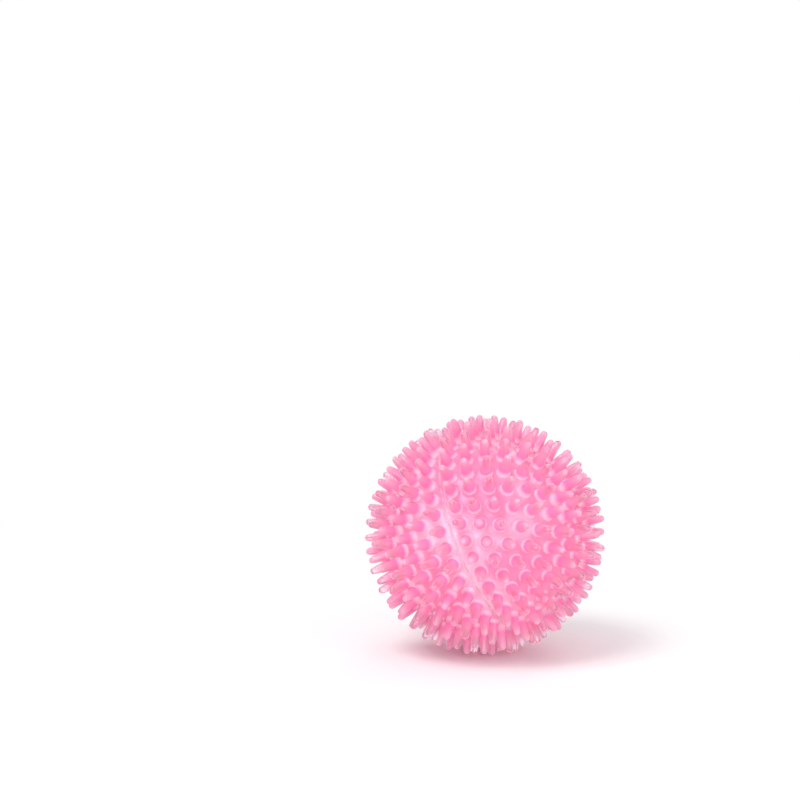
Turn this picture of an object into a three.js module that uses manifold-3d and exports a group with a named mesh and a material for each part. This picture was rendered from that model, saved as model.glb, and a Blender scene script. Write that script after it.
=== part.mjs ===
// A hollow, squeezable rubber ball covered in blunt spikes: two moulded halves bonded along a ridged seam,
// with a reed squeaker snapped into the pole of one half. Millimetres, +Z up.
// The ball lies still on three spike tips, on the plane z = 0, with its mould axis leaning up towards +X.

import * as THREE from "three";
import { ConvexHull } from "three/addons/math/ConvexHull.js";
import { mergeGeometries, mergeVertices } from "three/addons/utils/BufferGeometryUtils.js";
import Module from "manifold-3d";

const wasm = await Module();
wasm.setup();

// Ball
const CORE_RADIUS = 32; // outside of the shell, between the spikes
const WALL = 3;
const SPIKE_LENGTH = 8; // from the shell to the tip
const SPIKE_FILL = 0.86; // base diameter over the closest spacing of two spikes
const SPIKE_TAPER = 0.48; // shoulder radius over base radius
const SPIKE_DOME = 0.12; // share of the length taken by the blunt tip beyond the shoulder

// Rings of spikes, counted from the seam to the pole
const RING_STEPS = 8; // steps from the first ring to the single spike on the pole
const FIRST_RING_SPIKES = 36;
const SPIKES_LOST_PER_RING = 4;
const RING_SHIFT = [0.5, 0, 0.5, 0, 0.5, 0, 0.5, 0.5, 0]; // shares of a spacing, from the lowest meridian
const STANDING_RING = 1; // the ball stands on one tip of this ring and two of the next
const TIP_FLAT = 0.5; // how deep the floor flattens those three tips

// Seam
const SEAM_STRIP = 1.2; // bare strip between the seam and the first ring's spike bases
const RIDGE_HEIGHT = 0.6;
const RIDGE_WIDTH = 0.7; // on each half
const TONGUE_DEPTH = 1.8; // lap of one half inside the other
const FIT = 0.3; // gap left where two pieces are bonded, clamped or seated

// Squeaker
const MOUTH_RADIUS = 5; // opening in the shell through which the sound leaves
const FRONT_RECESS = 1.8; // how far the housing's front lies below the shell's outside
const HOUSING_RADIUS = 9;
const HOUSING_LENGTH = 12;
const HOUSING_WALL = 1.2;
const FLANGE_REACH = 3; // beyond the housing's side
const FLANGE_THICKNESS = 1.6;
const FLANGE_SETBACK = 3.6; // from the housing's front to the flange
const SOCKET_WALL = 3; // rubber around the flange
const SOCKET_GRIP = 2.4; // rubber behind the flange
const VENT_RADIUS = 1.6; // hole in the middle of the housing's front
const COLLAR_LENGTH = 3.5;
const CAP_THICKNESS = 1.2;
const CAP_PLUG = 1.5;
const AIR_HOLES = 6;
const AIR_HOLE_RADIUS = 1.1;

// Reed
const REED_BASE_RADIUS = 2.4;
const REED_BASE_LENGTH = 8.8;
const WEDGE_LENGTH = 3.7;
const REED_THICKNESS = 0.2;
const REED_WIDTH = 3.2;
const REED_ROOT = 2.5; // part of the reed held under the wedge
const REED_FREE = 4.8; // part of the reed that beats
const CHANNEL_WIDTH = 1.8;
const CHANNEL_DEPTH = 1.2;
const CHANNEL_STOP = 1.1; // closed end of the channel, under the reed's tip

// Mesh fineness
const SPIKE_SIDES = 6;
const BALL_SEGMENTS = 36;
const SMALL_SEGMENTS = 24;
const HOLE_SEGMENTS = 10;
const BOWL_STEPS = 7;
const ARC_STEPS = 10;
const WELD = 1e-4;

// Sizes that follow from the ones above
const INNER_RADIUS = CORE_RADIUS - WALL;
const TIP_RADIUS = CORE_RADIUS + SPIKE_LENGTH;
const MID_WALL = INNER_RADIUS + WALL / 2;
const BASE_RADIUS = (SPIKE_FILL * Math.PI * CORE_RADIUS) / FIRST_RING_SPIKES;
const FIRST_RING = (BASE_RADIUS + SEAM_STRIP) / CORE_RADIUS;
const RING_STEP = (Math.PI / 2 - FIRST_RING) / RING_STEPS;
const RIM = FIT / 2; // each half stops this far short of the seam plane
const SKIN_EDGE = RIM + RIDGE_WIDTH;

const FRONT = CORE_RADIUS - FRONT_RECESS;
const FRONT_INSIDE = FRONT - HOUSING_WALL;
const REAR = FRONT - HOUSING_LENGTH;
const FLANGE_TOP = FRONT - FLANGE_SETBACK;
const FLANGE_BOTTOM = FLANGE_TOP - FLANGE_THICKNESS;
const FLANGE_RADIUS = HOUSING_RADIUS + FLANGE_REACH;
const HOUSING_BORE = HOUSING_RADIUS - HOUSING_WALL;
const COLLAR_BORE = REED_BASE_RADIUS + FIT;
const CAP_TOP = REAR - FIT;
const REED_FRONT = FRONT_INSIDE - FIT;
const HINGE = REED_FRONT - WEDGE_LENGTH;
const REED_FLAT = REED_THICKNESS / 2 + FIT; // from the reed's middle to the blocks on either side

// Latitude, number of spikes and spacing of one ring; a ring never crowds closer than the first one.
function ring(index) {
  const latitude = FIRST_RING + index * RING_STEP;
  const round = FIRST_RING_SPIKES * Math.cos(latitude);
  const room = Math.floor(round / Math.cos(FIRST_RING));
  const count = Math.max(1, Math.min(FIRST_RING_SPIKES - index * SPIKES_LOST_PER_RING, room));
  return { latitude, count, spacing: (2 * Math.PI) / count, shift: RING_SHIFT[index % RING_SHIFT.length] };
}

function direction(latitude, longitude) {
  const level = Math.cos(latitude);
  return new THREE.Vector3(level * Math.cos(longitude), level * Math.sin(longitude), Math.sin(latitude));
}

// Directions of every spike on a half whose pole is up, leaving bare a circle around the pole.
function spikeDirections(bareRadius) {
  const found = [];
  for (let index = 0; index <= RING_STEPS; index++) {
    const { latitude, count, spacing, shift } = ring(index);
    const fromPole = CORE_RADIUS * Math.cos(latitude);
    if (bareRadius > 0 && fromPole < bareRadius + BASE_RADIUS + SEAM_STRIP) continue;
    for (let k = 0; k < count; k++) found.push(direction(latitude, (k + shift) * spacing));
  }
  return found;
}

// Points of a circle about the pole axis, at the same angles as the rings of a revolved piece.
function circle(radius, height) {
  return Array.from({ length: BALL_SEGMENTS }, (_, k) => {
    const turn = (2 * Math.PI * k) / BALL_SEGMENTS;
    return new THREE.Vector3(radius * Math.sin(turn), -radius * Math.cos(turn), height);
  });
}

// A many-sided ring about a spike's axis, given its radius and its distance from the ball's centre.
function spikeRing(axis, radius, reach) {
  const turn = new THREE.Quaternion().setFromUnitVectors(new THREE.Vector3(0, 0, 1), axis);
  return Array.from({ length: SPIKE_SIDES }, (_, k) => {
    const angle = (2 * Math.PI * k) / SPIKE_SIDES;
    const point = new THREE.Vector3(radius * Math.cos(angle), radius * Math.sin(angle), reach);
    return point.applyQuaternion(turn);
  });
}

function surface(triangles) {
  return new THREE.BufferGeometry().setFromPoints(triangles.flat());
}

// The outside of a half: blunt spikes, and the skin between them as the convex hull of all the spike bases.
function spikySkin(axes, edges) {
  const owner = new Map();
  const triangles = [];
  const baseReach = Math.sqrt(CORE_RADIUS ** 2 - BASE_RADIUS ** 2);
  const shoulderReach = TIP_RADIUS - SPIKE_LENGTH * SPIKE_DOME;
  for (const axis of axes) {
    const base = spikeRing(axis, BASE_RADIUS, baseReach);
    const shoulder = spikeRing(axis, BASE_RADIUS * SPIKE_TAPER, shoulderReach);
    const tip = axis.clone().multiplyScalar(TIP_RADIUS);
    for (let k = 0; k < SPIKE_SIDES; k++) {
      const next = (k + 1) % SPIKE_SIDES;
      triangles.push([base[k], base[next], shoulder[next]]);
      triangles.push([base[k], shoulder[next], shoulder[k]]);
      triangles.push([shoulder[k], shoulder[next], tip]);
      owner.set(base[k], axis);
    }
  }
  for (const edge of edges) for (const point of edge) owner.set(point, edge);
  for (const face of new ConvexHull().setFromPoints([...owner.keys()]).faces) {
    const corners = [face.edge, face.edge.next, face.edge.prev].map((side) => side.head().point);
    const owners = new Set(corners.map((corner) => owner.get(corner)));
    if (owners.size > 1) triangles.push(corners); // a face with one owner closes a spike's base or an edge
  }
  return surface(triangles);
}

// Points of a profile are written as [distance from the axis, height].
function revolve(profile, segments) {
  const points = profile.map(([r, z]) => new THREE.Vector2(r, z));
  return new THREE.LatheGeometry(points, segments).rotateX(Math.PI / 2);
}

function revolveClosed(profile, segments) {
  return revolve([...profile, profile[0]], segments);
}

// Profile points on a sphere, from one height down to another.
function bowl(radius, fromHeight, toHeight) {
  const from = Math.asin(fromHeight / radius);
  const to = Math.asin(toHeight / radius);
  return Array.from({ length: BOWL_STEPS + 1 }, (_, k) => {
    const latitude = from + ((to - from) * k) / BOWL_STEPS;
    return [radius * Math.cos(latitude), radius * Math.sin(latitude)];
  });
}

// A solid from pieces of surface that meet edge to edge.
function solidFrom(...pieces) {
  const bare = pieces.map((piece) => {
    const loose = piece.index ? piece.toNonIndexed() : piece;
    return new THREE.BufferGeometry().setAttribute("position", loose.getAttribute("position"));
  });
  const welded = mergeVertices(mergeGeometries(bare), WELD);
  const corners = Array.from(welded.index.array);
  const triVerts = [];
  for (let i = 0; i < corners.length; i += 3) {
    const face = corners.slice(i, i + 3);
    if (new Set(face).size === face.length) triVerts.push(...face);
  }
  const vertProperties = welded.getAttribute("position").array;
  return new wasm.Manifold(
    new wasm.Mesh({ numProp: 3, vertProperties, triVerts: Uint32Array.from(triVerts) }),
  );
}

function meshOf(name, solid, material) {
  const { vertProperties, triVerts } = solid.getMesh();
  const geometry = new THREE.BufferGeometry();
  geometry.setAttribute("position", new THREE.BufferAttribute(vertProperties, 3));
  geometry.setIndex(new THREE.BufferAttribute(triVerts, 1));
  geometry.computeVertexNormals();
  const mesh = new THREE.Mesh(geometry, material);
  mesh.name = name;
  return mesh;
}

// The seam side of a half, from its rim to the edge of its spiky skin, with half of the raised ridge.
function rimProfile(innerRadius) {
  return [
    [innerRadius, RIM],
    [CORE_RADIUS + RIDGE_HEIGHT, RIM],
    [CORE_RADIUS + RIDGE_HEIGHT, RIM + RIDGE_WIDTH / 2],
    [Math.sqrt(CORE_RADIUS ** 2 - SKIN_EDGE ** 2), SKIN_EDGE],
  ];
}

function seamEdge() {
  return circle(Math.sqrt(CORE_RADIUS ** 2 - SKIN_EDGE ** 2), SKIN_EDGE);
}

// Both halves are drawn with their own pole up and the seam plane at height 0.
function plainHalf() {
  const skin = spikySkin(spikeDirections(0), [seamEdge()]);
  const inside = revolve(
    [
      ...bowl(INNER_RADIUS, INNER_RADIUS, 0),
      [INNER_RADIUS, -TONGUE_DEPTH],
      [MID_WALL, -TONGUE_DEPTH],
      ...rimProfile(MID_WALL),
    ],
    BALL_SEGMENTS,
  );
  return solidFrom(skin, inside);
}

function socketHalf() {
  const mouthHeight = Math.sqrt(CORE_RADIUS ** 2 - MOUTH_RADIUS ** 2);
  const mouthEdge = circle(MOUTH_RADIUS, mouthHeight);
  const skin = spikySkin(spikeDirections(MOUTH_RADIUS), [seamEdge(), mouthEdge]);
  const bore = HOUSING_RADIUS + FIT;
  const groove = FLANGE_RADIUS + FIT;
  const outside = groove + SOCKET_WALL;
  const back = FLANGE_BOTTOM - FIT - SOCKET_GRIP;
  const lap = TONGUE_DEPTH + FIT;
  const inside = revolve(
    [
      [MOUTH_RADIUS, mouthHeight],
      [MOUTH_RADIUS, FRONT + FIT],
      [bore, FRONT + FIT],
      [bore, FLANGE_TOP + FIT],
      [groove, FLANGE_TOP + FIT],
      [groove, FLANGE_BOTTOM - FIT],
      [bore, FLANGE_BOTTOM - FIT],
      [bore, back],
      [outside, back],
      ...bowl(INNER_RADIUS, Math.sqrt(INNER_RADIUS ** 2 - outside ** 2), lap),
      [MID_WALL + FIT, lap],
      ...rimProfile(MID_WALL + FIT),
    ],
    BALL_SEGMENTS,
  );
  return solidFrom(skin, inside);
}

function squeakerHousing() {
  const collarOutside = COLLAR_BORE + HOUSING_WALL;
  const collarEnd = FRONT_INSIDE - COLLAR_LENGTH;
  return solidFrom(
    revolveClosed(
      [
        [HOUSING_BORE, REAR],
        [HOUSING_RADIUS, REAR],
        [HOUSING_RADIUS, FLANGE_BOTTOM],
        [FLANGE_RADIUS, FLANGE_BOTTOM],
        [FLANGE_RADIUS, FLANGE_TOP],
        [HOUSING_RADIUS, FLANGE_TOP],
        [HOUSING_RADIUS, FRONT],
        [VENT_RADIUS, FRONT],
        [VENT_RADIUS, FRONT_INSIDE],
        [COLLAR_BORE, FRONT_INSIDE],
        [COLLAR_BORE, collarEnd],
        [collarOutside, collarEnd],
        [collarOutside, FRONT_INSIDE],
        [HOUSING_BORE, FRONT_INSIDE],
      ],
      SMALL_SEGMENTS,
    ),
  );
}

function squeakerCap() {
  const plug = HOUSING_BORE - FIT;
  const plugInside = plug - HOUSING_WALL;
  const bottom = CAP_TOP - CAP_THICKNESS;
  let cap = solidFrom(
    revolve(
      [
        [0, bottom],
        [HOUSING_RADIUS, bottom],
        [HOUSING_RADIUS, CAP_TOP],
        [plug, CAP_TOP],
        [plug, CAP_TOP + CAP_PLUG],
        [plugInside, CAP_TOP + CAP_PLUG],
        [plugInside, CAP_TOP],
        [0, CAP_TOP],
      ],
      SMALL_SEGMENTS,
    ),
  );
  for (let k = 0; k < AIR_HOLES; k++) {
    const angle = ((k + 0.5) * 2 * Math.PI) / AIR_HOLES;
    const depth = 3 * CAP_THICKNESS;
    const hole = new THREE.CylinderGeometry(AIR_HOLE_RADIUS, AIR_HOLE_RADIUS, depth, HOLE_SEGMENTS);
    hole.rotateX(Math.PI / 2);
    hole.translate((plugInside / 2) * Math.cos(angle), (plugInside / 2) * Math.sin(angle), bottom);
    cap = cap.subtract(solidFrom(hole));
  }
  return cap;
}

// A round bar with a flat along it, facing +X, standing from one height to another.
function flattedBar(from, to) {
  const half = Math.acos(-REED_FLAT / REED_BASE_RADIUS);
  const section = new THREE.Shape();
  section.absarc(0, 0, REED_BASE_RADIUS, half, 2 * Math.PI - half);
  section.closePath();
  const bar = new THREE.ExtrudeGeometry(section, {
    depth: to - from,
    bevelEnabled: false,
    curveSegments: ARC_STEPS,
  });
  return bar.translate(0, 0, from);
}

function reedBase() {
  const end = REED_FRONT - REED_BASE_LENGTH;
  const length = REED_BASE_LENGTH - CHANNEL_STOP;
  const channel = new THREE.BoxGeometry(2 * CHANNEL_DEPTH, CHANNEL_WIDTH, 2 * length);
  channel.translate(-REED_FLAT, 0, REED_FRONT);
  return solidFrom(flattedBar(end, REED_FRONT)).subtract(solidFrom(channel));
}

function reedWedge() {
  return solidFrom(flattedBar(HINGE, REED_FRONT).rotateZ(Math.PI));
}

function reed() {
  const strip = new THREE.BoxGeometry(REED_THICKNESS, REED_WIDTH, REED_ROOT + REED_FREE);
  return solidFrom(strip.translate(0, 0, HINGE + (REED_ROOT - REED_FREE) / 2));
}

// How the ball lies: the mould axis leans so that three tips of the socket half share the floor.
function resting() {
  const tips = [STANDING_RING, STANDING_RING + 1].map((index) => {
    const { latitude, spacing, shift } = ring(index);
    return direction(-latitude, shift * spacing).multiplyScalar(TIP_RADIUS);
  });
  const lean = Math.atan2(tips[0].x - tips[1].x, tips[0].z - tips[1].z);
  const height = tips[0].x * Math.cos(lean) - tips[0].z * Math.sin(lean) - TIP_FLAT;
  return { lean, height };
}

const { lean, height } = resting();
const ball = new THREE.Group();
ball.name = "spiky_ball";
ball.rotation.y = Math.PI / 2 - lean;
ball.position.z = height;

const socketSide = new THREE.Group(); // the half with the squeaker points its pole the other way
socketSide.name = "socket_side";
socketSide.rotation.x = Math.PI;
ball.add(socketSide);
ball.updateMatrixWorld(true);

// Everything under the floor, seen from the socket half's own frame.
function floorSolid() {
  const side = 4 * TIP_RADIUS;
  const slab = new THREE.BoxGeometry(side, side, TIP_RADIUS).translate(0, 0, -TIP_RADIUS / 2);
  return solidFrom(slab.applyMatrix4(socketSide.matrixWorld.clone().invert()));
}

const rubber = new THREE.MeshStandardMaterial({ color: 0xf77fb0, roughness: 0.22, metalness: 0 });
const whitePlastic = new THREE.MeshStandardMaterial({ color: 0xf1ede4, roughness: 0.42, metalness: 0 });
const palePlastic = new THREE.MeshStandardMaterial({ color: 0xdfe6ea, roughness: 0.35, metalness: 0 });
const film = new THREE.MeshStandardMaterial({ color: 0xe9dfc4, roughness: 0.18, metalness: 0 });

ball.add(meshOf("plain_half_shell", plainHalf(), rubber));
socketSide.add(meshOf("socket_half_shell", socketHalf().subtract(floorSolid()), rubber));
socketSide.add(meshOf("squeaker_housing", squeakerHousing(), whitePlastic));
socketSide.add(meshOf("squeaker_cap", squeakerCap(), whitePlastic));
socketSide.add(meshOf("reed_base", reedBase(), palePlastic));
socketSide.add(meshOf("reed_wedge", reedWedge(), palePlastic));
socketSide.add(meshOf("reed", reed(), film));

const part = new THREE.Group();
part.add(ball);

export default part;
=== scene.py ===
"""Looks of a hollow rubber spiky ball with a reed squeaker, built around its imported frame.

The ball is drawn in millimetres and turned into metres where a mesh is made; finishes and studio are in metres.
Each half is drawn with its own pole up and the seam plane at height 0, and is then laid as the ball lies.
"""

import logging
import math
from dataclasses import dataclass
from enum import Enum
from typing import Any

import bpy
import numpy as np
from mathutils import Matrix, Vector
from mathutils.geometry import delaunay_2d_cdt


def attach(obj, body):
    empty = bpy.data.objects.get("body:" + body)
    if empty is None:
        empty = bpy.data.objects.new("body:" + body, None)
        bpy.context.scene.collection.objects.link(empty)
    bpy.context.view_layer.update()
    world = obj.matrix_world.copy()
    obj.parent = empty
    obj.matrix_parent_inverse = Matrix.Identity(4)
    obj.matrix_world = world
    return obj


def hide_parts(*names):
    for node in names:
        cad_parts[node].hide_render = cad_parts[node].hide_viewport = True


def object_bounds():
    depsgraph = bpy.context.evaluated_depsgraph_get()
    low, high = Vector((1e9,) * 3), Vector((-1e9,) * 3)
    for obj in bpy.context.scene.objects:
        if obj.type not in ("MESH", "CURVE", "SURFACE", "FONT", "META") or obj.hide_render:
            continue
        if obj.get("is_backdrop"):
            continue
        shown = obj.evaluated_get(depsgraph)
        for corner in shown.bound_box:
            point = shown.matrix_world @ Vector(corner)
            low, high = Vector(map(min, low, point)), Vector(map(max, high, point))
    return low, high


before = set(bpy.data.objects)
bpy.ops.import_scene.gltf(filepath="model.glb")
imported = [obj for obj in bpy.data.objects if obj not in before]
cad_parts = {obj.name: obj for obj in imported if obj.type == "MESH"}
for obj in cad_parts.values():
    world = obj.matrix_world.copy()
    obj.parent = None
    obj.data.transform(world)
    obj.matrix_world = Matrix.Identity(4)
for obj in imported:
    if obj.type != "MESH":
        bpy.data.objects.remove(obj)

LOG = logging.getLogger("spiky_ball")
METRE = 0.001  # metres in a millimetre
FULL_TURN = 2 * math.pi
CLARITY = "clarity"  # the mesh attribute that says how clear a spike is
NOISE_MIDDLE = 0.5
WHITE = (1.0, 1.0, 1.0, 1.0)
BLACK = (0.0, 0.0, 0.0, 1.0)

Colour = tuple[float, float, float, float]
Triple = tuple[float, float, float]
Limits = tuple[float, float]


class Pole(Enum):
    """Which half of the ball a piece belongs to."""

    PLAIN = "plain"
    SOCKET = "socket"


class Body(Enum):
    """The rigid bodies that pieces ride on."""

    BALL = "ball"
    REED = "reed"


def srgb(red: int, green: int, blue: int) -> Colour:
    """Turns a screen colour into the linear colour that a shader takes.

    A channel c becomes c / 12.92 up to 0.04045, and ((c + 0.055) / 1.055)^2.4 above it.

    Args:
        red: Red, 0 to 255.
        green: Green, 0 to 255.
        blue: Blue, 0 to 255.

    Returns:
        The linear colour, with an alpha of 1.
    """
    screen = np.array([red, green, blue]) / 255
    linear = np.where(screen <= 0.04045, screen / 12.92, ((screen + 0.055) / 1.055) ** 2.4)
    return (*linear.tolist(), 1.0)


class Wire:
    """An output socket of a shader node that takes part in sums as a number does."""

    def __init__(self, graph: "Graph", socket: bpy.types.NodeSocket) -> None:
        """Wraps a socket.

        Args:
            graph: The graph that the socket's node is in.
            socket: The output socket.
        """
        self.graph = graph
        self.socket = socket

    def _math(self, operation: str, first: Any, second: Any) -> "Wire":
        """Adds a Math node.

        Args:
            operation: The node's operation.
            first: A number or a wire.
            second: A number or a wire.

        Returns:
            The node's result.
        """
        return self.graph.node("ShaderNodeMath", {"operation": operation}, {0: first, 1: second})

    def __add__(self, other: Any) -> "Wire":
        """Returns self + other."""
        return self._math("ADD", self, other)

    def __radd__(self, other: Any) -> "Wire":
        """Returns other + self."""
        return self._math("ADD", other, self)

    def __sub__(self, other: Any) -> "Wire":
        """Returns self - other."""
        return self._math("SUBTRACT", self, other)

    def __rsub__(self, other: Any) -> "Wire":
        """Returns other - self."""
        return self._math("SUBTRACT", other, self)

    def __mul__(self, other: Any) -> "Wire":
        """Returns self * other."""
        return self._math("MULTIPLY", self, other)

    def __truediv__(self, other: Any) -> "Wire":
        """Returns self / other."""
        return self._math("DIVIDE", self, other)


class Graph:
    """The node graph of one material or of the world."""

    def __init__(self, tree: bpy.types.NodeTree) -> None:
        """Empties a node tree to build in.

        Args:
            tree: The tree of a material or a world.
        """
        self.tree = tree
        tree.nodes.clear()

    def node(
        self,
        kind: str,
        settings: dict[str, Any] | None = None,
        sockets: dict[int | str, Any] | None = None,
        output: int | str = 0,
    ) -> Wire:
        """Adds a node of any type.

        Args:
            kind: The node's type name.
            settings: Properties set before the sockets; "stops" gives a colour ramp's (place, colour) pairs.
            sockets: Values or wires for input sockets, by name or number.
            output: The output to return, by name or number.

        Returns:
            The chosen output as a wire.
        """
        made = self.tree.nodes.new(kind)
        for name, value in (settings or {}).items():
            if name == "stops":
                ramp = made.color_ramp.elements
                while len(ramp) < len(value):
                    ramp.new(1.0)
                for element, (place, colour) in zip(ramp, value):
                    element.position, element.color = place, colour
            else:
                setattr(made, name, value)
        for name, value in (sockets or {}).items():
            if isinstance(value, Wire):
                self.tree.links.new(value.socket, made.inputs[name])
            else:
                made.inputs[name].default_value = value
        return Wire(self, made.outputs[output] if len(made.outputs) else None)

    def place(self) -> Wire:
        """Gives each point's place in its piece's own coordinates."""
        return self.node("ShaderNodeTexCoord", output="Object")

    def vector(self, operation: str, output: str, *inputs: Any) -> Wire:
        """Adds a Vector Math node.

        Args:
            operation: The node's operation.
            output: Vector or Value.
            inputs: What it takes.

        Returns:
            The chosen output.
        """
        return self.node("ShaderNodeVectorMath", {"operation": operation}, dict(enumerate(inputs)), output)

    def smooth(self, value: Wire, start: float, end: float) -> Wire:
        """Eases a value from 0 to 1 between two limits.

        Args:
            value: The wire to ease.
            start: Where the result leaves 0.
            end: Where the result reaches 1.

        Returns:
            The eased wire.
        """
        limits = {"Value": value, "From Min": start, "From Max": end}
        return self.node("ShaderNodeMapRange", {"interpolation_type": "SMOOTHSTEP"}, limits)

    def blend(self, factor: Any, first: Any, second: Any) -> Wire:
        """Mixes two colours.

        Args:
            factor: The share of the second colour.
            first: The first colour or wire.
            second: The second colour or wire.

        Returns:
            The mixed colour.
        """
        return self.node("ShaderNodeMix", {"data_type": "RGBA"}, {0: factor, 6: first, 7: second}, 2)

    def bump(self, height: Wire, strength: float, distance: float) -> Wire:
        """Turns a height into a bumpy normal.

        Args:
            height: The height, in units of the distance.
            strength: How strongly it shows.
            distance: The unit of height, in metres.

        Returns:
            The normal.
        """
        return self.node("ShaderNodeBump", None, {"Strength": strength, "Distance": distance, "Height": height})

    def noise(self, place: Wire, scale: float, detail: float = 2.0, roughness: float = 0.5) -> Wire:
        """Adds a noise texture.

        Args:
            place: The coordinates.
            scale: Features to a metre.
            detail: Octaves.
            roughness: The share that each octave keeps.

        Returns:
            The noise value, about 0 to 1.
        """
        sockets = {"Vector": place, "Scale": scale, "Detail": detail, "Roughness": roughness}
        return self.node("ShaderNodeTexNoise", None, sockets)

    def ray(self, *kinds: str) -> Wire:
        """Tells whether a ray is of one of the given kinds.

        Args:
            kinds: Words from the Light Path node, such as Camera.

        Returns:
            1 for such a ray, else 0.
        """
        found = [self.node("ShaderNodeLightPath", output=f"Is {kind} Ray") for kind in kinds]
        return sum(found[1:], found[0])

    def output(self, shader: Wire, kind: str = "ShaderNodeOutputMaterial") -> None:
        """Links a shader to the output.

        Args:
            shader: The finished shader.
            kind: The output node's type name.
        """
        self.node(kind, None, {"Surface": shader})


class Finish:
    """A procedural material; each kind says how its nodes are joined."""

    def dress(self, graph: Graph) -> None:
        """Builds the nodes.

        Args:
            graph: The empty graph of the material.
        """
        raise NotImplementedError

    def material(self, name: str) -> bpy.types.Material:
        """Makes the material.

        Args:
            name: The material's name.

        Returns:
            The new material.
        """
        made = bpy.data.materials.new(name)
        made.use_nodes = True
        self.dress(Graph(made.node_tree))
        LOG.info("material %s", name)
        return made


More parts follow.
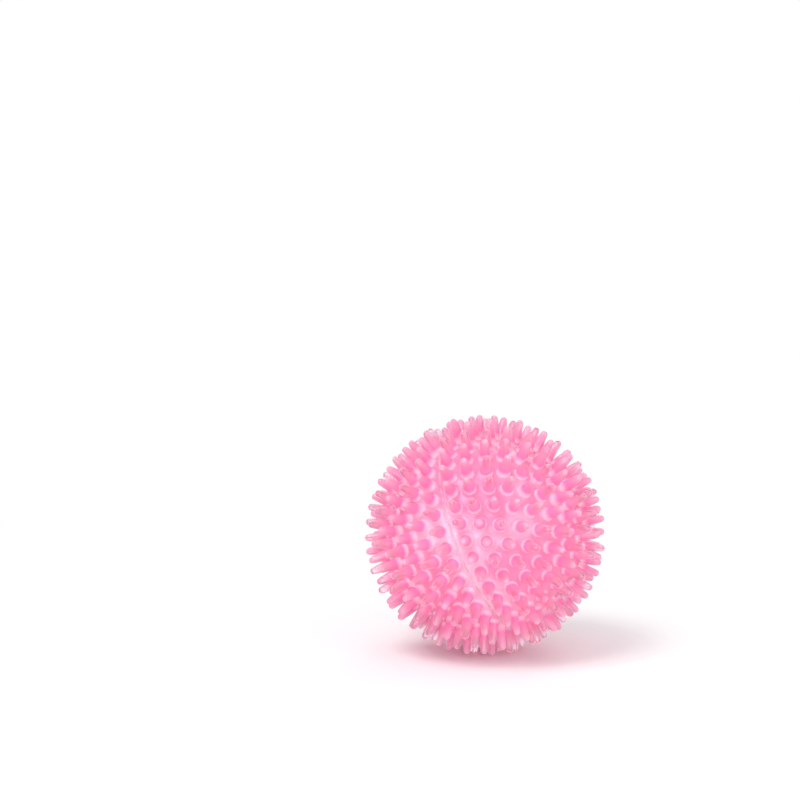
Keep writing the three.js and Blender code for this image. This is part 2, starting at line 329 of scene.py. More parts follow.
@dataclass(frozen=True)
class RubberFinish(Finish):
    """Clear-tinted soft rubber: a pale ring at each spike's foot, which is a painted highlight, a hot pink root, and
    a milky or a glassy tip.

    Lengths are in metres. Limits are the values between which an effect sets in, from none to all of it.

    Attributes:
        ramp: Places of the skin, the ring (a painted highlight), the root, the shaft and the tip on the ramp of
            colours.
        ramp_foot: Where a spike's foot lies on the ramp.
        ramp_milky: How far a milky spike runs along it; a clear one runs ramp_clear further.
        clear_limits: Values of the mesh attribute between which a spike turns from milky to clear.
        painted_glow_depths: Shares of the core's radius between which the inner wall starts to give off painted
            light.
        skin_weights: Subsurface and transmission of the skin; spike_weights has those of the spikes.
        glass_milky: How glassy a milky spike's tip is.
        haze_share: How much of the glass is milky at glancing angles.
    """

    centre: Triple
    axis: Triple
    core_radius: float
    tip_radius: float
    # Painted light: the inner wall emits this pink in place of light scattered inside the rubber; it is no lamp.
    painted_glow: Colour = srgb(250, 102, 170)
    skin: Colour = srgb(242, 143, 183)
    # Painted highlight: the pale ring round each spike's foot stands in for light falling on the flared base.
    ring: Colour = srgb(251, 204, 224)
    root: Colour = srgb(246, 140, 193)
    shaft: Colour = srgb(252, 193, 218)
    tip: Colour = srgb(252, 235, 248)
    flash: Colour = srgb(252, 232, 242)
    mark: Colour = srgb(150, 70, 104)
    clouding: float = 45.0
    dust: float = 1500.0
    ramp: tuple[float, ...] = (0.0, 0.2, 0.225, 0.255, 0.33, 0.6, 0.85)
    ramp_foot: float = 0.2
    ramp_milky: float = 0.38
    ramp_clear: float = 0.32
    mottling: float = 0.14
    clear_limits: Limits = (0.2, 0.65)
    flash_width: float = 0.0006
    flash_foot: float = 0.0003
    speck_limits: Limits = (0.74, 0.8)
    speck_depth: float = 0.99
    speck_share: float = 0.6
    pin_limits: Limits = (0.62, 0.68)
    pin_reach: Limits = (0.92, 0.97)
    pin_share: float = 0.8
    # Painted light: where and how strongly the inner wall shines pink from inside the ball.
    painted_glow_depths: Limits = (0.985, 0.95)
    painted_glow_strength: float = 0.75
    roughness: float = 0.22
    cloud_roughness: float = 0.05
    grain_roughness: float = 0.04
    spike_gloss: float = 0.18
    gloss_limits: Limits = (0.0, 0.2)
    bump_strength: float = 0.06
    bump_distance: float = 0.0004
    cloud_height: float = 2.0
    ior: float = 1.48
    scatter: Triple = (1.0, 0.5, 0.65)
    scatter_scale: float = 0.0008
    skin_weights: tuple[float, float] = (0.6, 0.1)
    spike_weights: tuple[float, float] = (0.8, 0.85)
    glass_limits: Limits = (0.08, 0.9)
    glass_milky: float = 0.35
    glass_flash: float = 0.5
    haze_blend: float = 0.5
    haze_limits: Limits = (0.3, 0.9)
    haze_share: float = 0.75

    def dress(self, graph: Graph) -> None:
        """Builds the rubber: one shader for the skin and one for the spikes, mixed by distance from the centre.

        Args:
            graph: The empty graph of the material.
        """
        place = graph.place()
        away = graph.vector("SUBTRACT", "Vector", place, self.centre)
        radius = graph.vector("LENGTH", "Value", away)
        along = (radius - self.core_radius) / (self.tip_radius - self.core_radius)
        clouds = graph.noise(place, self.clouding, detail=3.0)
        grains = graph.noise(place, self.dust, roughness=0.6)
        own = graph.node("ShaderNodeAttribute", {"attribute_name": CLARITY}, None, "Fac")
        clarity = graph.smooth(own, *self.clear_limits)
        fin = self.fin(graph, away, radius)
        shifted = along * (self.ramp_milky + clarity * self.ramp_clear) + self.ramp_foot
        shifted = shifted + (clouds - NOISE_MIDDLE) * self.mottling
        # The ring stops paint a pale highlight round each spike's foot.
        colours = (self.skin, self.skin, self.ring, self.ring, self.root, self.shaft, self.tip)
        colour = graph.node("ShaderNodeValToRGB", {"stops": list(zip(self.ramp, colours))}, {0: shifted})
        colour = graph.blend(fin, colour, self.flash)
        outside = graph.smooth(radius, self.core_radius * self.speck_depth, self.core_radius)
        specks = graph.smooth(grains, *self.speck_limits) * outside
        colour = graph.blend(specks * self.speck_share, colour, self.flash)
        pins = graph.smooth(grains, *self.pin_limits) * graph.smooth(along, *self.pin_reach)
        colour = graph.blend(pins * self.pin_share, colour, self.mark)
        # Painted light: the inner wall, below the core's radius, emits pink as though lit from inside.
        hollow = graph.smooth(radius, *(self.core_radius * depth for depth in self.painted_glow_depths))
        rough = self.roughness + clouds * self.cloud_roughness + grains * self.grain_roughness
        shared = {
            "Base Color": colour,
            "Roughness": rough - graph.smooth(along, *self.gloss_limits) * self.spike_gloss,
            "Normal": graph.bump(grains + clouds * self.cloud_height, self.bump_strength, self.bump_distance),
            "IOR": self.ior,
            # Painted light: pink emission on the inner wall, seen through the clear spikes.
            "Emission Color": graph.blend(hollow, BLACK, self.painted_glow),
            "Emission Strength": self.painted_glow_strength,
            "Subsurface Radius": self.scatter,
            "Subsurface Scale": self.scatter_scale,
        }
        skin, spike = [
            graph.node(
                "ShaderNodeBsdfPrincipled",
                {"subsurface_method": "RANDOM_WALK"},
                {**shared, "Subsurface Weight": scattered, "Transmission Weight": let_through},
            )
            for scattered, let_through in (self.skin_weights, self.spike_weights)
        ]
        facing = graph.node("ShaderNodeLayerWeight", None, {"Blend": self.haze_blend}, "Facing")
        haze = graph.smooth(facing, *self.haze_limits)
        glass = self.glass_milky + clarity * (1.0 - self.glass_milky)
        clear = graph.smooth(along, *self.glass_limits) * glass + fin * self.glass_flash
        outer = clear * (1.0 - haze * self.haze_share)
        graph.output(graph.node("ShaderNodeMixShader", None, {0: outer, 1: skin, 2: spike}))

    def fin(self, graph: Graph, away: Wire, radius: Wire) -> Wire:
        """Finds the thin flash that stands on the seam.

        Args:
            graph: The graph of the material.
            away: The way from the ball's centre.
            radius: The length of that way.

        Returns:
            1 on the flash, else 0.
        """
        across = graph.vector("DOT_PRODUCT", "Value", away, self.axis)
        aside = graph.node("ShaderNodeMath", {"operation": "ABSOLUTE"}, {0: across})
        raised = graph.smooth(radius, self.core_radius + self.flash_foot, self.core_radius + 2 * self.flash_foot)
        return (1.0 - graph.smooth(aside, 0.0, self.flash_width)) * raised


@dataclass(frozen=True)
class PlasticFinish(Finish):
    """Moulded plastic with a fine texture and faint flow marks."""

    colour: Colour
    shade: Colour
    roughness: float = 0.38
    flow: float = 160.0
    flow_limits: Limits = (0.35, 0.75)
    flow_roughness: float = 0.06
    texture: float = 5200.0
    texture_roughness: float = 0.12
    bump_strength: float = 0.2
    bump_distance: float = 0.0001
    subsurface: float = 0.1
    scatter: Triple = (1.0, 0.9, 0.8)
    scatter_scale: float = 0.001

    def dress(self, graph: Graph) -> None:
        """Builds the plastic.

        Args:
            graph: The empty graph of the material.
        """
        place = graph.place()
        flow = graph.noise(place, self.flow, detail=3.0)
        grain = graph.noise(place, self.texture, roughness=0.6)
        sockets = {
            "Base Color": graph.blend(graph.smooth(flow, *self.flow_limits), self.colour, self.shade),
            "Roughness": self.roughness + grain * self.texture_roughness + flow * self.flow_roughness,
            "Normal": graph.bump(grain + flow, self.bump_strength, self.bump_distance),
            "Subsurface Weight": self.subsurface,
            "Subsurface Radius": self.scatter,
            "Subsurface Scale": self.scatter_scale,
        }
        graph.output(graph.node("ShaderNodeBsdfPrincipled", None, sockets))


@dataclass(frozen=True)
class FilmFinish(Finish):
    """Thin amber polyester film of the reed, streaked along its length."""

    colour: Colour = srgb(232, 214, 172)
    streak: Colour = srgb(206, 182, 132)
    stretch: Triple = (0.2, 1.0, 0.2)
    streaking: float = 2600.0
    streak_limits: Limits = (0.4, 0.7)
    roughness: float = 0.14
    streak_roughness: float = 0.16
    bump_strength: float = 0.15
    bump_distance: float = 0.00005
    transmission: float = 0.3

    def dress(self, graph: Graph) -> None:
        """Builds the film.

        Args:
            graph: The empty graph of the material.
        """
        drawn = graph.node("ShaderNodeMapping", None, {"Vector": graph.place(), "Scale": self.stretch})
        streaks = graph.noise(drawn, self.streaking, detail=3.0)
        sockets = {
            "Base Color": graph.blend(graph.smooth(streaks, *self.streak_limits), self.colour, self.streak),
            "Roughness": self.roughness + streaks * self.streak_roughness,
            "Normal": graph.bump(streaks, self.bump_strength, self.bump_distance),
            "Transmission Weight": self.transmission,
        }
        graph.output(graph.node("ShaderNodeBsdfPrincipled", None, sockets))


@dataclass(frozen=True)
class FloorFinish(Finish):
    """Matt white paper that a ball stands on.

    Attributes:
        near: Where the camera starts to see plain white, in metres from the ball.
        far: Where it sees nothing else.
    """

    colour: Colour = (0.93, 0.93, 0.93, 1.0)
    fleck: Colour = (0.9, 0.9, 0.9, 1.0)
    flecking: float = 900.0
    roughness: float = 0.9
    gloss: float = 0.1
    near: float = 0.09
    far: float = 0.3

    def dress(self, graph: Graph) -> None:
        """Builds the paper.

        Args:
            graph: The empty graph of the material.
        """
        place = graph.place()
        colour = graph.blend(graph.noise(place, self.flecking), self.colour, self.fleck)
        sockets = {"Base Color": colour, "Roughness": self.roughness, "Specular IOR Level": self.gloss}
        paper = graph.node("ShaderNodeBsdfPrincipled", None, sockets)
        away = graph.vector("LENGTH", "Value", place)
        white = graph.node("ShaderNodeEmission", None, {"Strength": 1.0})
        fade = graph.smooth(away, self.near, self.far) * graph.ray("Camera") + graph.ray("Glossy", "Transmission")
        graph.output(graph.node("ShaderNodeMixShader", None, {0: fade, 1: paper, 2: white}))


class Surface:
    """Vertices and faces of one mesh, gathered in whole arrays."""

    def __init__(self) -> None:
        """Starts empty."""
        self.points: list[np.ndarray] = []
        self.values: list[np.ndarray] = []
        self.faces: list[np.ndarray] = []
        self.count = 0

    def add(self, points: np.ndarray, clarity: np.ndarray | float = 0.0) -> np.ndarray:
        """Adds vertices.

        Args:
            points: An array of places whose last axis is x, y, z.
            clarity: How clear the material is there, for each point or for all of them.

        Returns:
            The numbers of the new vertices, in the shape of the array without its last axis.
        """
        flat = points.reshape(-1, 3)
        first, self.count = self.count, self.count + len(flat)
        self.points.append(flat)
        self.values.append(np.broadcast_to(clarity, points.shape[:-1]).reshape(-1))
        return np.arange(first, self.count).reshape(points.shape[:-1])

    def corners(self, *rows: np.ndarray) -> None:
        """Adds faces from arrays of their first, second and further corners.

        Args:
            rows: Vertex numbers, one array for each corner, all of one shape.
        """
        self.faces.append(np.stack([row.reshape(-1) for row in rows], axis=1))

    def band(self, low: np.ndarray, high: np.ndarray) -> None:
        """Joins closed rings of vertices with quads that face right of the way from low to high.

        Args:
            low: Vertex numbers, the last axis running round each ring.
            high: Vertex numbers of the rings to join to, in the same shape.
        """
        self.corners(low, np.roll(low, -1, -1), np.roll(high, -1, -1), high)

    def piece(
        self, name: str, lay: Matrix, finish: bpy.types.Material, crease: float, box: list | None = None
    ) -> bpy.types.Object:
        """Makes the mesh object.

        Args:
            name: The object's name.
            lay: The matrix from the drawing to the row's frame.
            finish: The material.
            crease: Edges that bend more than this angle, in degrees, stay sharp.
            box: The lowest and highest corners that the piece is held inside, if any.

        Returns:
            The new object, linked to the scene.
        """
        turn = np.array(lay)
        places = np.concatenate(self.points) @ turn[:3, :3].T + turn[:3, 3]
        places = places if box is None else np.clip(places, *box)
        mesh = bpy.data.meshes.new(name)
        mesh.from_pydata(places, [], [face.tolist() for block in self.faces for face in block])
        mesh.validate()
        mesh.attributes.new(CLARITY, "FLOAT", "POINT").data.foreach_set("value", np.concatenate(self.values))
        mesh.shade_smooth()
        mesh.set_sharp_from_angle(angle=math.radians(crease))
        mesh.materials.append(finish)
        made = bpy.data.objects.new(name, mesh)
        bpy.context.scene.collection.objects.link(made)
        LOG.info("piece %s: %d vertices, %d faces", name, len(mesh.vertices), len(mesh.polygons))
        return made


@dataclass(frozen=True)
class BallSizes:
    """Driving sizes of the ball, in millimetres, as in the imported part."""

    core_radius: float = 32.0
    wall: float = 3.0
    spike_length: float = 8.0
    spike_fill: float = 0.86
    first_ring_spikes: int = 36
    lost_per_ring: int = 4
    ring_steps: int = 8
    ring_shift: tuple = (0.5, 0.0, 0.5, 0.0, 0.5, 0.0, 0.5, 0.5, 0.0)
    standing_ring: int = 1
    tip_flat: float = 0.5
    seam_strip: float = 1.2
    ridge_height: float = 0.6
    ridge_width: float = 0.7
    tongue: float = 1.8
    fit: float = 0.3
    mouth_radius: float = 5.0
    front_recess: float = 1.8
    housing_radius: float = 9.0
    housing_length: float = 12.0
    housing_wall: float = 1.2
    flange_reach: float = 3.0
    flange_thickness: float = 1.6
    flange_setback: float = 3.6
    socket_wall: float = 3.0
    socket_grip: float = 2.4
    vent_radius: float = 1.6
    collar_bore: float = 2.7
    collar_length: float = 3.5

    @property
    def inner_radius(self) -> float:
        """Radius of the hollow."""
        return self.core_radius - self.wall

    @property
    def tip_radius(self) -> float:
        """Distance of the spike tips from the centre."""
        return self.core_radius + self.spike_length

    @property
    def base_radius(self) -> float:
        """Radius of a spike where it meets the skin."""
        return self.spike_fill * math.pi * self.core_radius / self.first_ring_spikes

    @property
    def first_ring(self) -> float:
        """Latitude of the ring of spikes next to the seam."""
        return (self.base_radius + self.seam_strip) / self.core_radius

    @property
    def front(self) -> float:
        """Distance of the squeaker's face from the centre."""
        return self.core_radius - self.front_recess

    @property
    def flange_top(self) -> float:
        """Distance of the flange's outer side from the centre."""
        return self.front - self.flange_setback

    @property
    def flange_bottom(self) -> float:
        """Distance of the flange's inner side from the centre."""
        return self.flange_top - self.flange_thickness


@dataclass(frozen=True)
class SpikeRings:
    """The rings of spikes on a half, and the way that the ball lies on three of their tips."""

    sizes: BallSizes = BallSizes()

    def ring(self, index: int) -> tuple[float, int, float]:
        """Works out one ring: latitude = first + index * step, count = what the ring has room for.

        Args:
            index: The ring's number, from the seam.

        Returns:
            Its latitude, its number of spikes and its shift in spacings.
        """
        sizes = self.sizes
        step = (math.pi / 2 - sizes.first_ring) / sizes.ring_steps
        latitude = sizes.first_ring + index * step
        room = math.floor(sizes.first_ring_spikes * math.cos(latitude) / math.cos(sizes.first_ring))
        count = max(1, min(sizes.first_ring_spikes - index * sizes.lost_per_ring, room))
        return latitude, count, sizes.ring_shift[index]

    def directions(self, bare_radius: float) -> np.ndarray:
        """Finds the axis of every spike, leaving a circle about the pole bare.

        Args:
            bare_radius: The radius of the bare circle, or 0.

        Returns:
            Unit vectors, one row for each spike.
        """
        sizes, found = self.sizes, []
        for index in range(sizes.ring_steps + 1):
            latitude, count, shift = self.ring(index)
            clear = bare_radius + sizes.base_radius + sizes.seam_strip
            if bare_radius > 0 and sizes.core_radius * math.cos(latitude) < clear:
                continue
            turn = (np.arange(count) + shift) * FULL_TURN / count
            level = math.cos(latitude)
            found.append(
                np.stack([level * np.cos(turn), level * np.sin(turn), np.full(count, math.sin(latitude))], axis=1)
            )
        return np.concatenate(found)

    def lie(self, pole: Pole) -> Matrix:
        """Lays a half down: the mould axis leans until three tips of the socket half share the floor.

        Args:
            pole: The half to lay down.

        Returns:
            The matrix from the half's drawing, in millimetres, to the row's frame, in metres.
        """
        tips = []
        for index in (self.sizes.standing_ring, self.sizes.standing_ring + 1):
            latitude, count, shift = self.ring(index)
            level = math.cos(latitude) * math.cos(shift * FULL_TURN / count)
            tips.append(np.array([level, -math.sin(latitude)]) * self.sizes.tip_radius)
        lean = math.atan2(tips[0][0] - tips[1][0], tips[0][1] - tips[1][1])
        height = tips[0][0] * math.cos(lean) - tips[0][1] * math.sin(lean) - self.sizes.tip_flat
        laid = Matrix.Translation((0, 0, height)) @ Matrix.Rotation(math.pi / 2 - lean, 4, "Y")
        if pole is Pole.SOCKET:
            laid = laid @ Matrix.Rotation(math.pi, 4, "X")
        return Matrix.Scale(METRE, 4) @ laid


def lathe(profile: np.ndarray, segments: int) -> np.ndarray:
    """Turns a profile about the pole axis: (r, z) becomes (r cos a, r sin a, z) for a = 0 to a full turn.

    Args:
        profile: Rows of distance from the axis and height, or such rows for each segment.
        segments: Steps round the axis.

    Returns:
        Places as rows of rings.
    """
    turn = np.arange(segments) * FULL_TURN / segments
    rows = np.broadcast_to(profile.reshape(len(profile), -1, 2), (len(profile), segments, 2))
    return np.stack([rows[..., 0] * np.cos(turn), rows[..., 0] * np.sin(turn), rows[..., 1]], axis=-1)


def rounded(profile: list[tuple[float, float]], radius: float, steps: int = 3, parts: float = 2.5) -> np.ndarray:
    """Rounds the corners of a closed profile with curves (1-t)^2 a + 2t(1-t) c + t^2 b about each corner c.

    Args:
        profile: The corners.
        radius: How far from a corner its curve starts, if its sides are long enough.
        steps: Steps along each curve.
        parts: A side's length over the most that a curve takes of it.

    Returns:
        The points of the rounded profile.
    """
    corner = np.array(profile, float)
    before, after = np.roll(corner, 1, 0) - corner, np.roll(corner, -1, 0) - corner
    reach = np.minimum(np.linalg.norm(before, axis=1), np.linalg.norm(after, axis=1)) / parts
    reach = np.minimum(reach, radius)[:, None]
    start = corner + before / np.linalg.norm(before, axis=1)[:, None] * reach
    end = corner + after / np.linalg.norm(after, axis=1)[:, None] * reach
    t = np.linspace(0, 1, steps + 1)[None, :, None]
    curve = (1 - t) ** 2 * start[:, None] + 2 * t * (1 - t) * corner[:, None] + t**2 * end[:, None]
    return curve.reshape(-1, 2)


@dataclass
class HalfShell:
    """One moulded half: blunt spikes, the skin between them, the seam ridge and the hollow inside.

    Attributes:
        steps: Shares of a spike's length, and its radius there over the base radius.
        sway: Spread of the tips' sway, which sway_limit bounds.
        shortening: The largest share of its length that a spike falls short by.
        upright: Rise of an axis above which a spike's section is turned from another direction.
        standing: Rise of an axis below which a spike stands on the floor, neither swayed nor shortened.
        skin_step: Spacing of the points on the skin, which skin_margin keeps off its edges.
        pole_angle: Angle from the pole of the closed hollow's first ring.
        lip_swell, lip_drop, lip_ease, lip_rise: Offsets of the two points that round the mouth's lip.
        flash: Height of the ragged flash, a sum of waves that go round as often as wave_counts allows.
        crest_share, flank_share: Where the ridge's crest ends and its flank lies, over its width.
        flank_flash: How much of the flash the flank follows.
    """

    pole: Pole
    node: str
    rubber: bpy.types.Material
    box: list
    sizes: BallSizes = BallSizes()
    rings: SpikeRings = SpikeRings()
    segments: int = 216
    sides: int = 10
    steps: tuple = ((0.0, 1.08), (0.07, 0.9), (0.5, 0.66), (0.83, 0.51), (0.93, 0.42), (0.98, 0.24))
    sway: float = 0.3
    sway_limit: float = 0.6
    shortening: float = 0.012
    upright: float = 0.9
    standing: float = -0.97
    skin_step: float = 0.95
    skin_margin: float = 0.3
    map_tolerance: float = 1e-9
    pole_angle: float = 0.04
    lip_swell: float = 0.12
    lip_drop: float = 0.35
    lip_ease: float = 0.05
    lip_rise: float = 0.2
    seam_gap: float = 0.04
    flash: float = 0.4
    flash_limits: Limits = (-0.6, 1.4)
    waves: int = 26
    wave_counts: tuple[int, int] = (9, 75)
    ridge_root: float = 0.4
    crest_round: float = 0.1
    crest_bevel: float = 0.06
    crest_share: float = 0.2
    flank_height: float = 0.2
    flank_share: float = 0.6
    flank_flash: float = 0.3
    crease: float = 70.0
    seed: int = 7

    def build(self) -> bpy.types.Object:
        """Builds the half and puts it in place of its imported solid.

        Returns:
            The new object.
        """
        sizes, surface = self.sizes, Surface()
        bare = sizes.mouth_radius if self.pole is Pole.SOCKET else 0.0
        axes = self.rings.directions(bare)
        base = self.spikes(surface, axes)
        loose = surface.add(self.between(axes, bare))
        rows = surface.add(lathe(self.profile(), self.segments))
        if self.pole is Pole.PLAIN:
            top = surface.add(np.array([[0.0, 0.0, sizes.inner_radius]]))
            surface.corners(np.full(self.segments, top[0]), np.roll(rows[0], -1), rows[0])
        surface.band(rows[:-1], rows[1:])
        edges = [rows[-1]] + ([rows[0]] if self.pole is Pole.SOCKET else [])
        self.web(surface, base, loose, edges)
        lay = self.rings.lie(self.pole)
        made = surface.piece(f"{self.pole.value}_half", lay, self.rubber, self.crease, self.box)
        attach(made, Body.BALL.value)
        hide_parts(self.node)
        return made

    def spikes(self, surface: Surface, axes: np.ndarray) -> np.ndarray:
        """Adds the spikes: ring p of a spike is c_p + r_p (u cos a + v sin a), with c_p swayed a little with p.

        Args:
            surface: The mesh to add to.
            axes: Unit vectors of the spikes.

        Returns:
            The vertex numbers of each spike's base ring.
        """
        sizes, chance = self.sizes, np.random.default_rng(self.seed)
        up = np.where(np.abs(axes[:, 2:]) > self.upright, [[1.0, 0, 0]], [[0, 0, 1.0]])
        across = np.cross(up, axes)
        across /= np.linalg.norm(across, axis=1)[:, None]
        other = np.cross(axes, across)
        share, width = np.array(self.steps).T
        radius = sizes.base_radius * width
        foot = math.sqrt(sizes.core_radius**2 - radius[0] ** 2)
        reach = foot + (sizes.tip_radius - foot) * share
        rise = (np.array(self.rings.lie(self.pole))[2, :3] / METRE) @ axes.T
        free = (rise > self.standing)[:, None]
        lean = chance.normal(0.0, self.sway, (len(axes), 2)) * free
        lean = np.clip(lean, -self.sway_limit, self.sway_limit)
        length = 1.0 - chance.uniform(0.0, self.shortening, (len(axes), 1)) * free
        turn = np.arange(self.sides) * FULL_TURN / self.sides + chance.uniform(0, 1, (len(axes), 1))
        bend = lean[:, 0, None] * across + lean[:, 1, None] * other
        out = foot + (reach - foot)[None, :] * length
        middle = axes[:, None] * out[..., None] + bend[:, None] * (share**2)[None, :, None]
        ring = across[:, None] * np.cos(turn)[..., None] + other[:, None] * np.sin(turn)[..., None]
        places = middle[:, :, None] + ring[:, None] * radius[None, :, None, None]
        clarity = chance.uniform(0, 1, len(axes))
        number = surface.add(places, clarity[:, None, None])
        tip = surface.add(axes * (foot + (sizes.tip_radius - foot) * length) + bend, clarity)
        surface.band(number[:, :-1], number[:, 1:])
        last = number[:, -1]
        surface.corners(last, np.roll(last, -1, 1), np.broadcast_to(tip[:, None], last.shape))
        return number[:, 0]

    def between(self, axes: np.ndarray, bare_radius: float) -> np.ndarray:
        """Spreads points over the skin by turns of the golden angle: z_i = R (i + 1/2) / n, a_i = i (3 - sqrt 5) pi.

        Args:
            axes: Unit vectors of the spikes.
            bare_radius: The radius of the mouth, or 0.

        Returns:
            Those points that lie clear of the spikes, the seam and the mouth.
        """
        sizes = self.sizes
        count = round(FULL_TURN * (sizes.core_radius / self.skin_step) ** 2)
        high = (np.arange(count) + 0.5) / count
        turn = np.arange(count) * (3 - math.sqrt(5)) * math.pi
        level = np.sqrt(1 - high**2)
        points = np.stack([level * np.cos(turn), level * np.sin(turn), high], axis=1)
        apart = np.arccos(np.clip(points @ axes.T, -1, 1)).min(1) * sizes.core_radius
        clear = apart > self.steps[0][1] * sizes.base_radius + self.skin_margin
        clear &= high * sizes.core_radius > sizes.fit / 2 + sizes.ridge_width + self.skin_margin
        clear &= level * sizes.core_radius > bare_radius + self.skin_margin
        return points[clear] * sizes.core_radius

    def web(self, surface: Surface, base: np.ndarray, loose: np.ndarray, edges: list[np.ndarray]) -> None:
        """Adds the skin between the spikes, joined up on the flat map (x, y) / (R + z), where circles stay circles.

        Args:
            surface: The mesh to add to.
            base: Vertex numbers of the spikes' base rings.
            loose: Vertex numbers of the points spread over the skin.
            edges: Vertex numbers of the rings that bound the skin.
        """
        places = np.concatenate(surface.points)
        number = np.concatenate([base.reshape(-1), *edges, loose])
        owner = np.concatenate(
            [np.repeat(np.arange(len(base)), self.sides)]
            + [np.full(len(edge), len(base) + k) for k, edge in enumerate(edges)]
            + [len(base) + len(edges) + np.arange(len(loose))]
        )
        flat = places[number][:, :2] / (self.sizes.core_radius + places[number][:, 2:])
        points = [Vector(point) for point in flat.tolist()]
        _, _, faces, origin, _, _ = delaunay_2d_cdt(points, [], [], 0, self.map_tolerance, True)
        corner = np.array([[origin[c][0] for c in face] for face in faces])
        whose = owner[corner]
        kept = corner[(whose != whose[:, :1]).any(1)]
        surface.corners(*number[kept].T)

    def ragged(self) -> np.ndarray:
        """Works out how far the flash stands out round the seam: the sum of cos(n_k a + p_k) over sqrt(waves / 2).

        Returns:
            A height for each segment, the same for both halves where they meet.
        """
        chance = np.random.default_rng(self.seed + 1)
        turn = np.arange(self.segments) * FULL_TURN / self.segments
        turn = -turn if self.pole is Pole.SOCKET else turn
        counts = chance.integers(*self.wave_counts, self.waves)
        phase = chance.uniform(0, FULL_TURN, (self.waves, 1))
        height = np.cos(counts[:, None] * turn + phase).sum(0) / math.sqrt(self.waves / 2)
        return self.flash * np.clip(height, *self.flash_limits)

    def profile(self) -> np.ndarray:
        """Draws the half's inside, rim and ridge, from the pole or the mouth to the edge of the spiky skin.

        Returns:
            Rows of distance from the axis and height, for each segment.
        """
        sizes = self.sizes
        rim, middle = self.seam_gap / 2, sizes.core_radius - sizes.wall / 2
        if self.pole is Pole.PLAIN:
            inside = self.bowl(self.pole_angle, math.pi / 2)
            inside += [(sizes.inner_radius, -sizes.tongue), (middle, -sizes.tongue), (middle, rim)]
        else:
            bore, groove = sizes.housing_radius + sizes.fit, sizes.housing_radius + sizes.flange_reach + sizes.fit
            lip, back = sizes.front + sizes.fit, sizes.flange_bottom - sizes.fit - sizes.socket_grip
            mouth, outside = sizes.mouth_radius, groove + sizes.socket_wall
            edge = math.sqrt(sizes.core_radius**2 - mouth**2)
            step, lap = middle + sizes.fit, sizes.tongue + sizes.fit
            inside = [(mouth, edge), (mouth - self.lip_swell, edge - self.lip_drop)]
            inside += [(mouth - self.lip_ease, lip + self.lip_rise), (mouth, lip), (bore, lip)]
            inside += [(bore, sizes.flange_top + sizes.fit), (groove, sizes.flange_top + sizes.fit)]
            inside += [(groove, sizes.flange_bottom - sizes.fit), (bore, sizes.flange_bottom - sizes.fit)]
            inside += [(bore, back), (outside, back)]
            start, end = math.asin(outside / sizes.inner_radius), math.acos(lap / sizes.inner_radius)
            inside += self.bowl(start, end)
            inside += [(step, lap), (step, rim)]
        return np.concatenate([np.repeat(np.array(inside)[:, None], self.segments, axis=1), self.ridge(rim)])

    def ridge(self, rim: float) -> np.ndarray:
        """Draws the seam ridge, whose rows each follow a share s of the ragged flash f: (r + s f, z).

        Args:
            rim: Height of the half's rim.

        Returns:
            Rows of distance from the axis and height, for each segment.
        """
        core, width = self.sizes.core_radius, self.sizes.ridge_width
        top, edge = core + self.sizes.ridge_height, self.sizes.fit / 2 + width
        drawn = np.array(
            [
                (core - self.ridge_root, rim, 0.0),
                (top - self.crest_round, rim, 1.0),
                (top, rim + self.crest_bevel, 1.0),
                (top - self.crest_round, self.crest_share * width, 1.0),
                (core + self.flank_height, self.flank_share * width, self.flank_flash),
                (math.sqrt(core**2 - edge**2), edge, 0.0),
            ]
        )
        rows = np.repeat(drawn[:, None, :2], self.segments, axis=1)
        rows[..., 0] += drawn[:, 2:] * self.ragged()
        return rows

    def bowl(self, start: float, end: float, steps: int = 24) -> list[tuple[float, float]]:
        """Draws the hollow's wall, (R sin a, R cos a) from one angle from the pole to another.

        Args:
            start: The first angle.
            end: The last angle.
            steps: Steps between them.

        Returns:
            Points of the profile.
        """
        angle = np.linspace(start, end, steps + 1)
        radius = self.sizes.inner_radius
        return np.stack([radius * np.sin(angle), radius * np.cos(angle)], axis=1).tolist()


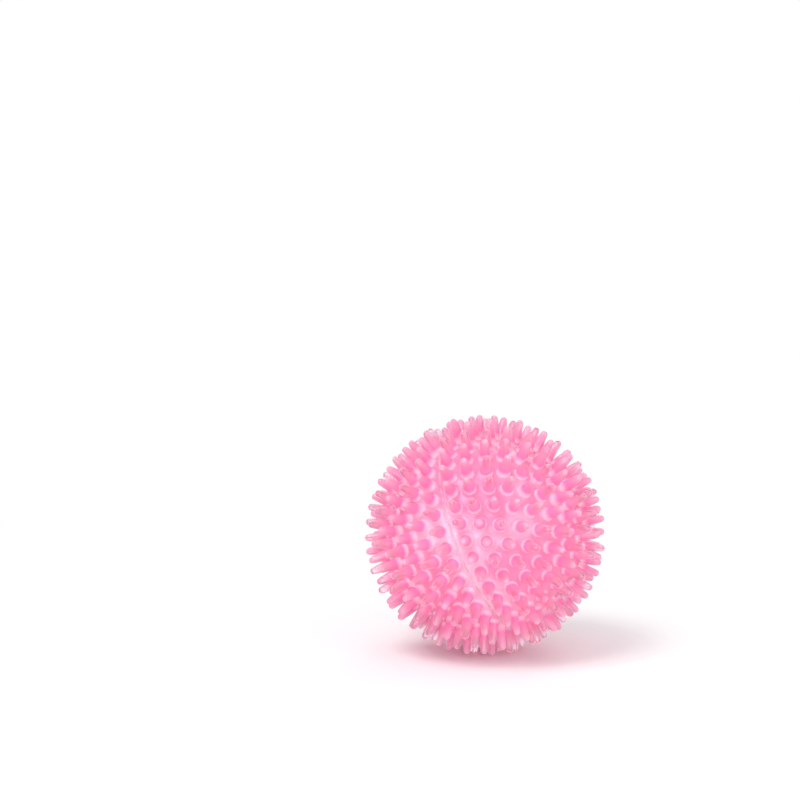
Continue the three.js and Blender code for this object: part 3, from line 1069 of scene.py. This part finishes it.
@dataclass
class Squeaker:
    """The squeaker: a rounded housing that shows in the mouth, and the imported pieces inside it."""

    plastic: bpy.types.Material
    reed_plastic: bpy.types.Material
    film: bpy.types.Material
    sizes: BallSizes = BallSizes()
    rings: SpikeRings = SpikeRings()
    segments: int = 96
    corner: float = 0.35
    dish_radius: float = 3.4
    dish_depth: float = 0.35
    crease: float = 35.0

    def build(self) -> bpy.types.Object:
        """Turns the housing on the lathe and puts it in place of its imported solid.

        Returns:
            The new object.
        """
        sizes, surface = self.sizes, Surface()
        bore, inside = sizes.housing_radius - sizes.housing_wall, sizes.front - sizes.housing_wall
        collar, end = sizes.collar_bore + sizes.housing_wall, inside - sizes.collar_length
        rear, flange = sizes.front - sizes.housing_length, sizes.housing_radius + sizes.flange_reach
        dish = sizes.front - self.dish_depth
        profile = [
            (bore, rear), (bore, inside), (collar, inside), (collar, end), (sizes.collar_bore, end),
            (sizes.collar_bore, inside), (sizes.vent_radius, inside), (sizes.vent_radius, dish),
            (self.dish_radius, dish), (self.dish_radius + self.dish_depth, sizes.front),
            (sizes.housing_radius, sizes.front), (sizes.housing_radius, sizes.flange_top), (flange, sizes.flange_top),
            (flange, sizes.flange_bottom), (sizes.housing_radius, sizes.flange_bottom), (sizes.housing_radius, rear),
        ]
        rows = surface.add(lathe(rounded(profile, self.corner), self.segments))
        surface.band(rows, np.roll(rows, -1, 0))
        made = surface.piece("squeaker_front", self.rings.lie(Pole.SOCKET), self.plastic, self.crease)
        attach(made, Body.BALL.value)
        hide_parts("squeaker_housing")
        return made

    def dress(self) -> None:
        """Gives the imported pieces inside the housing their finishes."""
        finishes = {
            "squeaker_cap": self.plastic,
            "reed_base": self.reed_plastic,
            "reed_wedge": self.reed_plastic,
            "reed": self.film,
        }
        for name, finish in finishes.items():
            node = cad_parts[name]
            node.data.materials.clear()
            node.data.materials.append(finish)
            LOG.info("finish of %s: %s", name, finish.name)


@dataclass(frozen=True)
class Lamp:
    """One soft square lamp, with angles in degrees and lengths in metres."""

    name: str
    azimuth: float
    elevation: float
    distance: float
    size: float
    watts: float


@dataclass
class Studio:
    """The white paper floor, soft lamps, an even sky and the camera at the photograph's angle.

    Attributes:
        target: The ball's centre, in metres.
        ball_pixel: Where that lies in the frame, in pixels from the left and from the top.
        ball_radius: The ball's radius in the frame, in pixels.
    """

    target: Vector
    tip_radius: float
    azimuth: float = 14.5
    elevation: float = 10.5
    lens: float = 135.0
    sensor: float = 36.0
    pixels: int = 800
    ball_pixel: tuple = (485.5, 534.5)
    ball_radius: float = 120.5
    sky: float = 0.66
    floor_size: float = 8.0
    floor_lines: int = 9
    lamps: tuple = (
        Lamp("key", -30.0, 58.0, 1.1, 0.5, 5.3),
        Lamp("fill", 62.0, 20.0, 1.3, 0.6, 3.8),
        Lamp("low", 12.0, 4.0, 1.3, 0.7, 8.0),
        Lamp("back", 170.0, 40.0, 1.2, 0.6, 2.0),
    )

    @staticmethod
    def heading(azimuth: float, elevation: float) -> Vector:
        """Gives the direction from the ball towards a viewer or a lamp.

        Args:
            azimuth: Degrees round the ball; 0 looks along +Y.
            elevation: Degrees above the floor.

        Returns:
            A unit vector.
        """
        around, above = math.radians(azimuth), math.radians(elevation)
        return Vector((math.sin(around) * math.cos(above), -math.cos(around) * math.cos(above), math.sin(above)))

    def build(self) -> None:
        """Makes the floor, the sky, the lamps and the camera."""
        self.floor()
        self.world()
        for lamp in self.lamps:
            self.light(lamp)
        self.camera()
        bpy.context.scene.view_settings.view_transform = "Standard"

    def floor(self) -> None:
        """Lays the paper: a grid whose far edges lie beyond the view."""
        steps = np.linspace(-0.5, 0.5, self.floor_lines) * self.floor_size
        x, y = np.meshgrid(steps, steps, indexing="ij")
        surface = Surface()
        number = surface.add(np.stack([x, y, np.zeros_like(x)], axis=-1))
        surface.corners(number[:-1, :-1], number[1:, :-1], number[1:, 1:], number[:-1, 1:])
        surface.piece("paper", Matrix.Identity(4), FloorFinish().material("paper"), 30.0)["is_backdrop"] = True

    def world(self) -> None:
        """Makes an even sky that looks white behind the ball and lights it softly."""
        world = bpy.data.worlds.new("sky")
        world.use_nodes = True
        bpy.context.scene.world = world
        graph = Graph(world.node_tree)
        strength = self.sky + graph.ray("Camera", "Glossy", "Transmission") * (1.0 - self.sky)
        shader = graph.node("ShaderNodeBackground", None, {"Color": WHITE, "Strength": strength})
        graph.output(shader, "ShaderNodeOutputWorld")

    def light(self, lamp: Lamp) -> None:
        """Hangs one lamp, facing the ball.

        Args:
            lamp: The lamp's sizes.
        """
        data = bpy.data.lights.new(lamp.name, "AREA")
        data.energy, data.size = lamp.watts, lamp.size
        made = bpy.data.objects.new(lamp.name, data)
        away = self.heading(lamp.azimuth, lamp.elevation)
        made.location = self.target + away * lamp.distance
        made.rotation_euler = away.to_track_quat("Z", "Y").to_euler()
        made.visible_transmission = False
        bpy.context.scene.collection.objects.link(made)

    def camera(self) -> None:
        """Stands the camera so that the ball has the photograph's place, size and angle in the frame."""
        data = bpy.data.cameras.new("camera")
        data.lens, data.sensor_width = self.lens, self.sensor
        focal = self.lens / self.sensor * self.pixels
        distance = self.tip_radius * math.hypot(focal / self.ball_radius, 1.0)
        away = self.heading(self.azimuth, self.elevation)
        across = Vector((math.cos(math.radians(self.azimuth)), math.sin(math.radians(self.azimuth)), 0.0))
        over = away.cross(across)
        scale, middle = distance / focal, self.pixels / 2
        right, below = self.ball_pixel[0] - middle, self.ball_pixel[1] - middle
        aim = self.target - across * right * scale + over * below * scale
        made = bpy.data.objects.new("camera", data)
        made.location = self.target + away * distance
        made.rotation_euler = (made.location - aim).to_track_quat("Z", "Y").to_euler()
        bpy.context.scene.collection.objects.link(made)
        bpy.context.scene.camera = made


@dataclass
class SpikyBall:
    """The whole dressed ball."""

    box: list
    sizes: BallSizes = BallSizes()

    def build(self) -> Vector:
        """Builds both halves and the squeaker.

        Returns:
            The ball's centre, in metres.
        """
        sizes, rings = self.sizes, SpikeRings(self.sizes)
        centre = rings.lie(Pole.PLAIN).to_translation()
        axis = rings.lie(Pole.PLAIN).col[2].xyz.normalized()
        radii = sizes.core_radius * METRE, sizes.tip_radius * METRE
        rubber = RubberFinish(tuple(centre), tuple(axis), *radii).material("pink_rubber")
        plastic = PlasticFinish(srgb(243, 240, 232), srgb(232, 227, 215)).material("white_plastic")
        pale = PlasticFinish(srgb(224, 230, 236), srgb(208, 217, 226), roughness=0.26).material("reed_plastic")
        HalfShell(Pole.PLAIN, "plain_half_shell", rubber, self.box, sizes, rings).build()
        HalfShell(Pole.SOCKET, "socket_half_shell", rubber, self.box, sizes, rings).build()
        squeaker = Squeaker(plastic, pale, FilmFinish().material("reed_film"), sizes, rings)
        squeaker.build()
        squeaker.dress()
        return centre


def plain(bounds: Any) -> list[list[float]]:
    """Turns a box into plain lists of numbers.

    Args:
        bounds: The lowest and highest corners.

    Returns:
        The corners as lists.
    """
    return [[float(value) for value in corner] for corner in bounds]


def main() -> None:
    """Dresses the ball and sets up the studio."""
    logging.basicConfig(level=logging.INFO, format="%(name)s: %(message)s")
    packed = plain(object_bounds())
    ball = SpikyBall(packed)
    centre = ball.build()
    Studio(centre, ball.sizes.tip_radius * METRE).build()


if __name__ == "__main__":
    main()
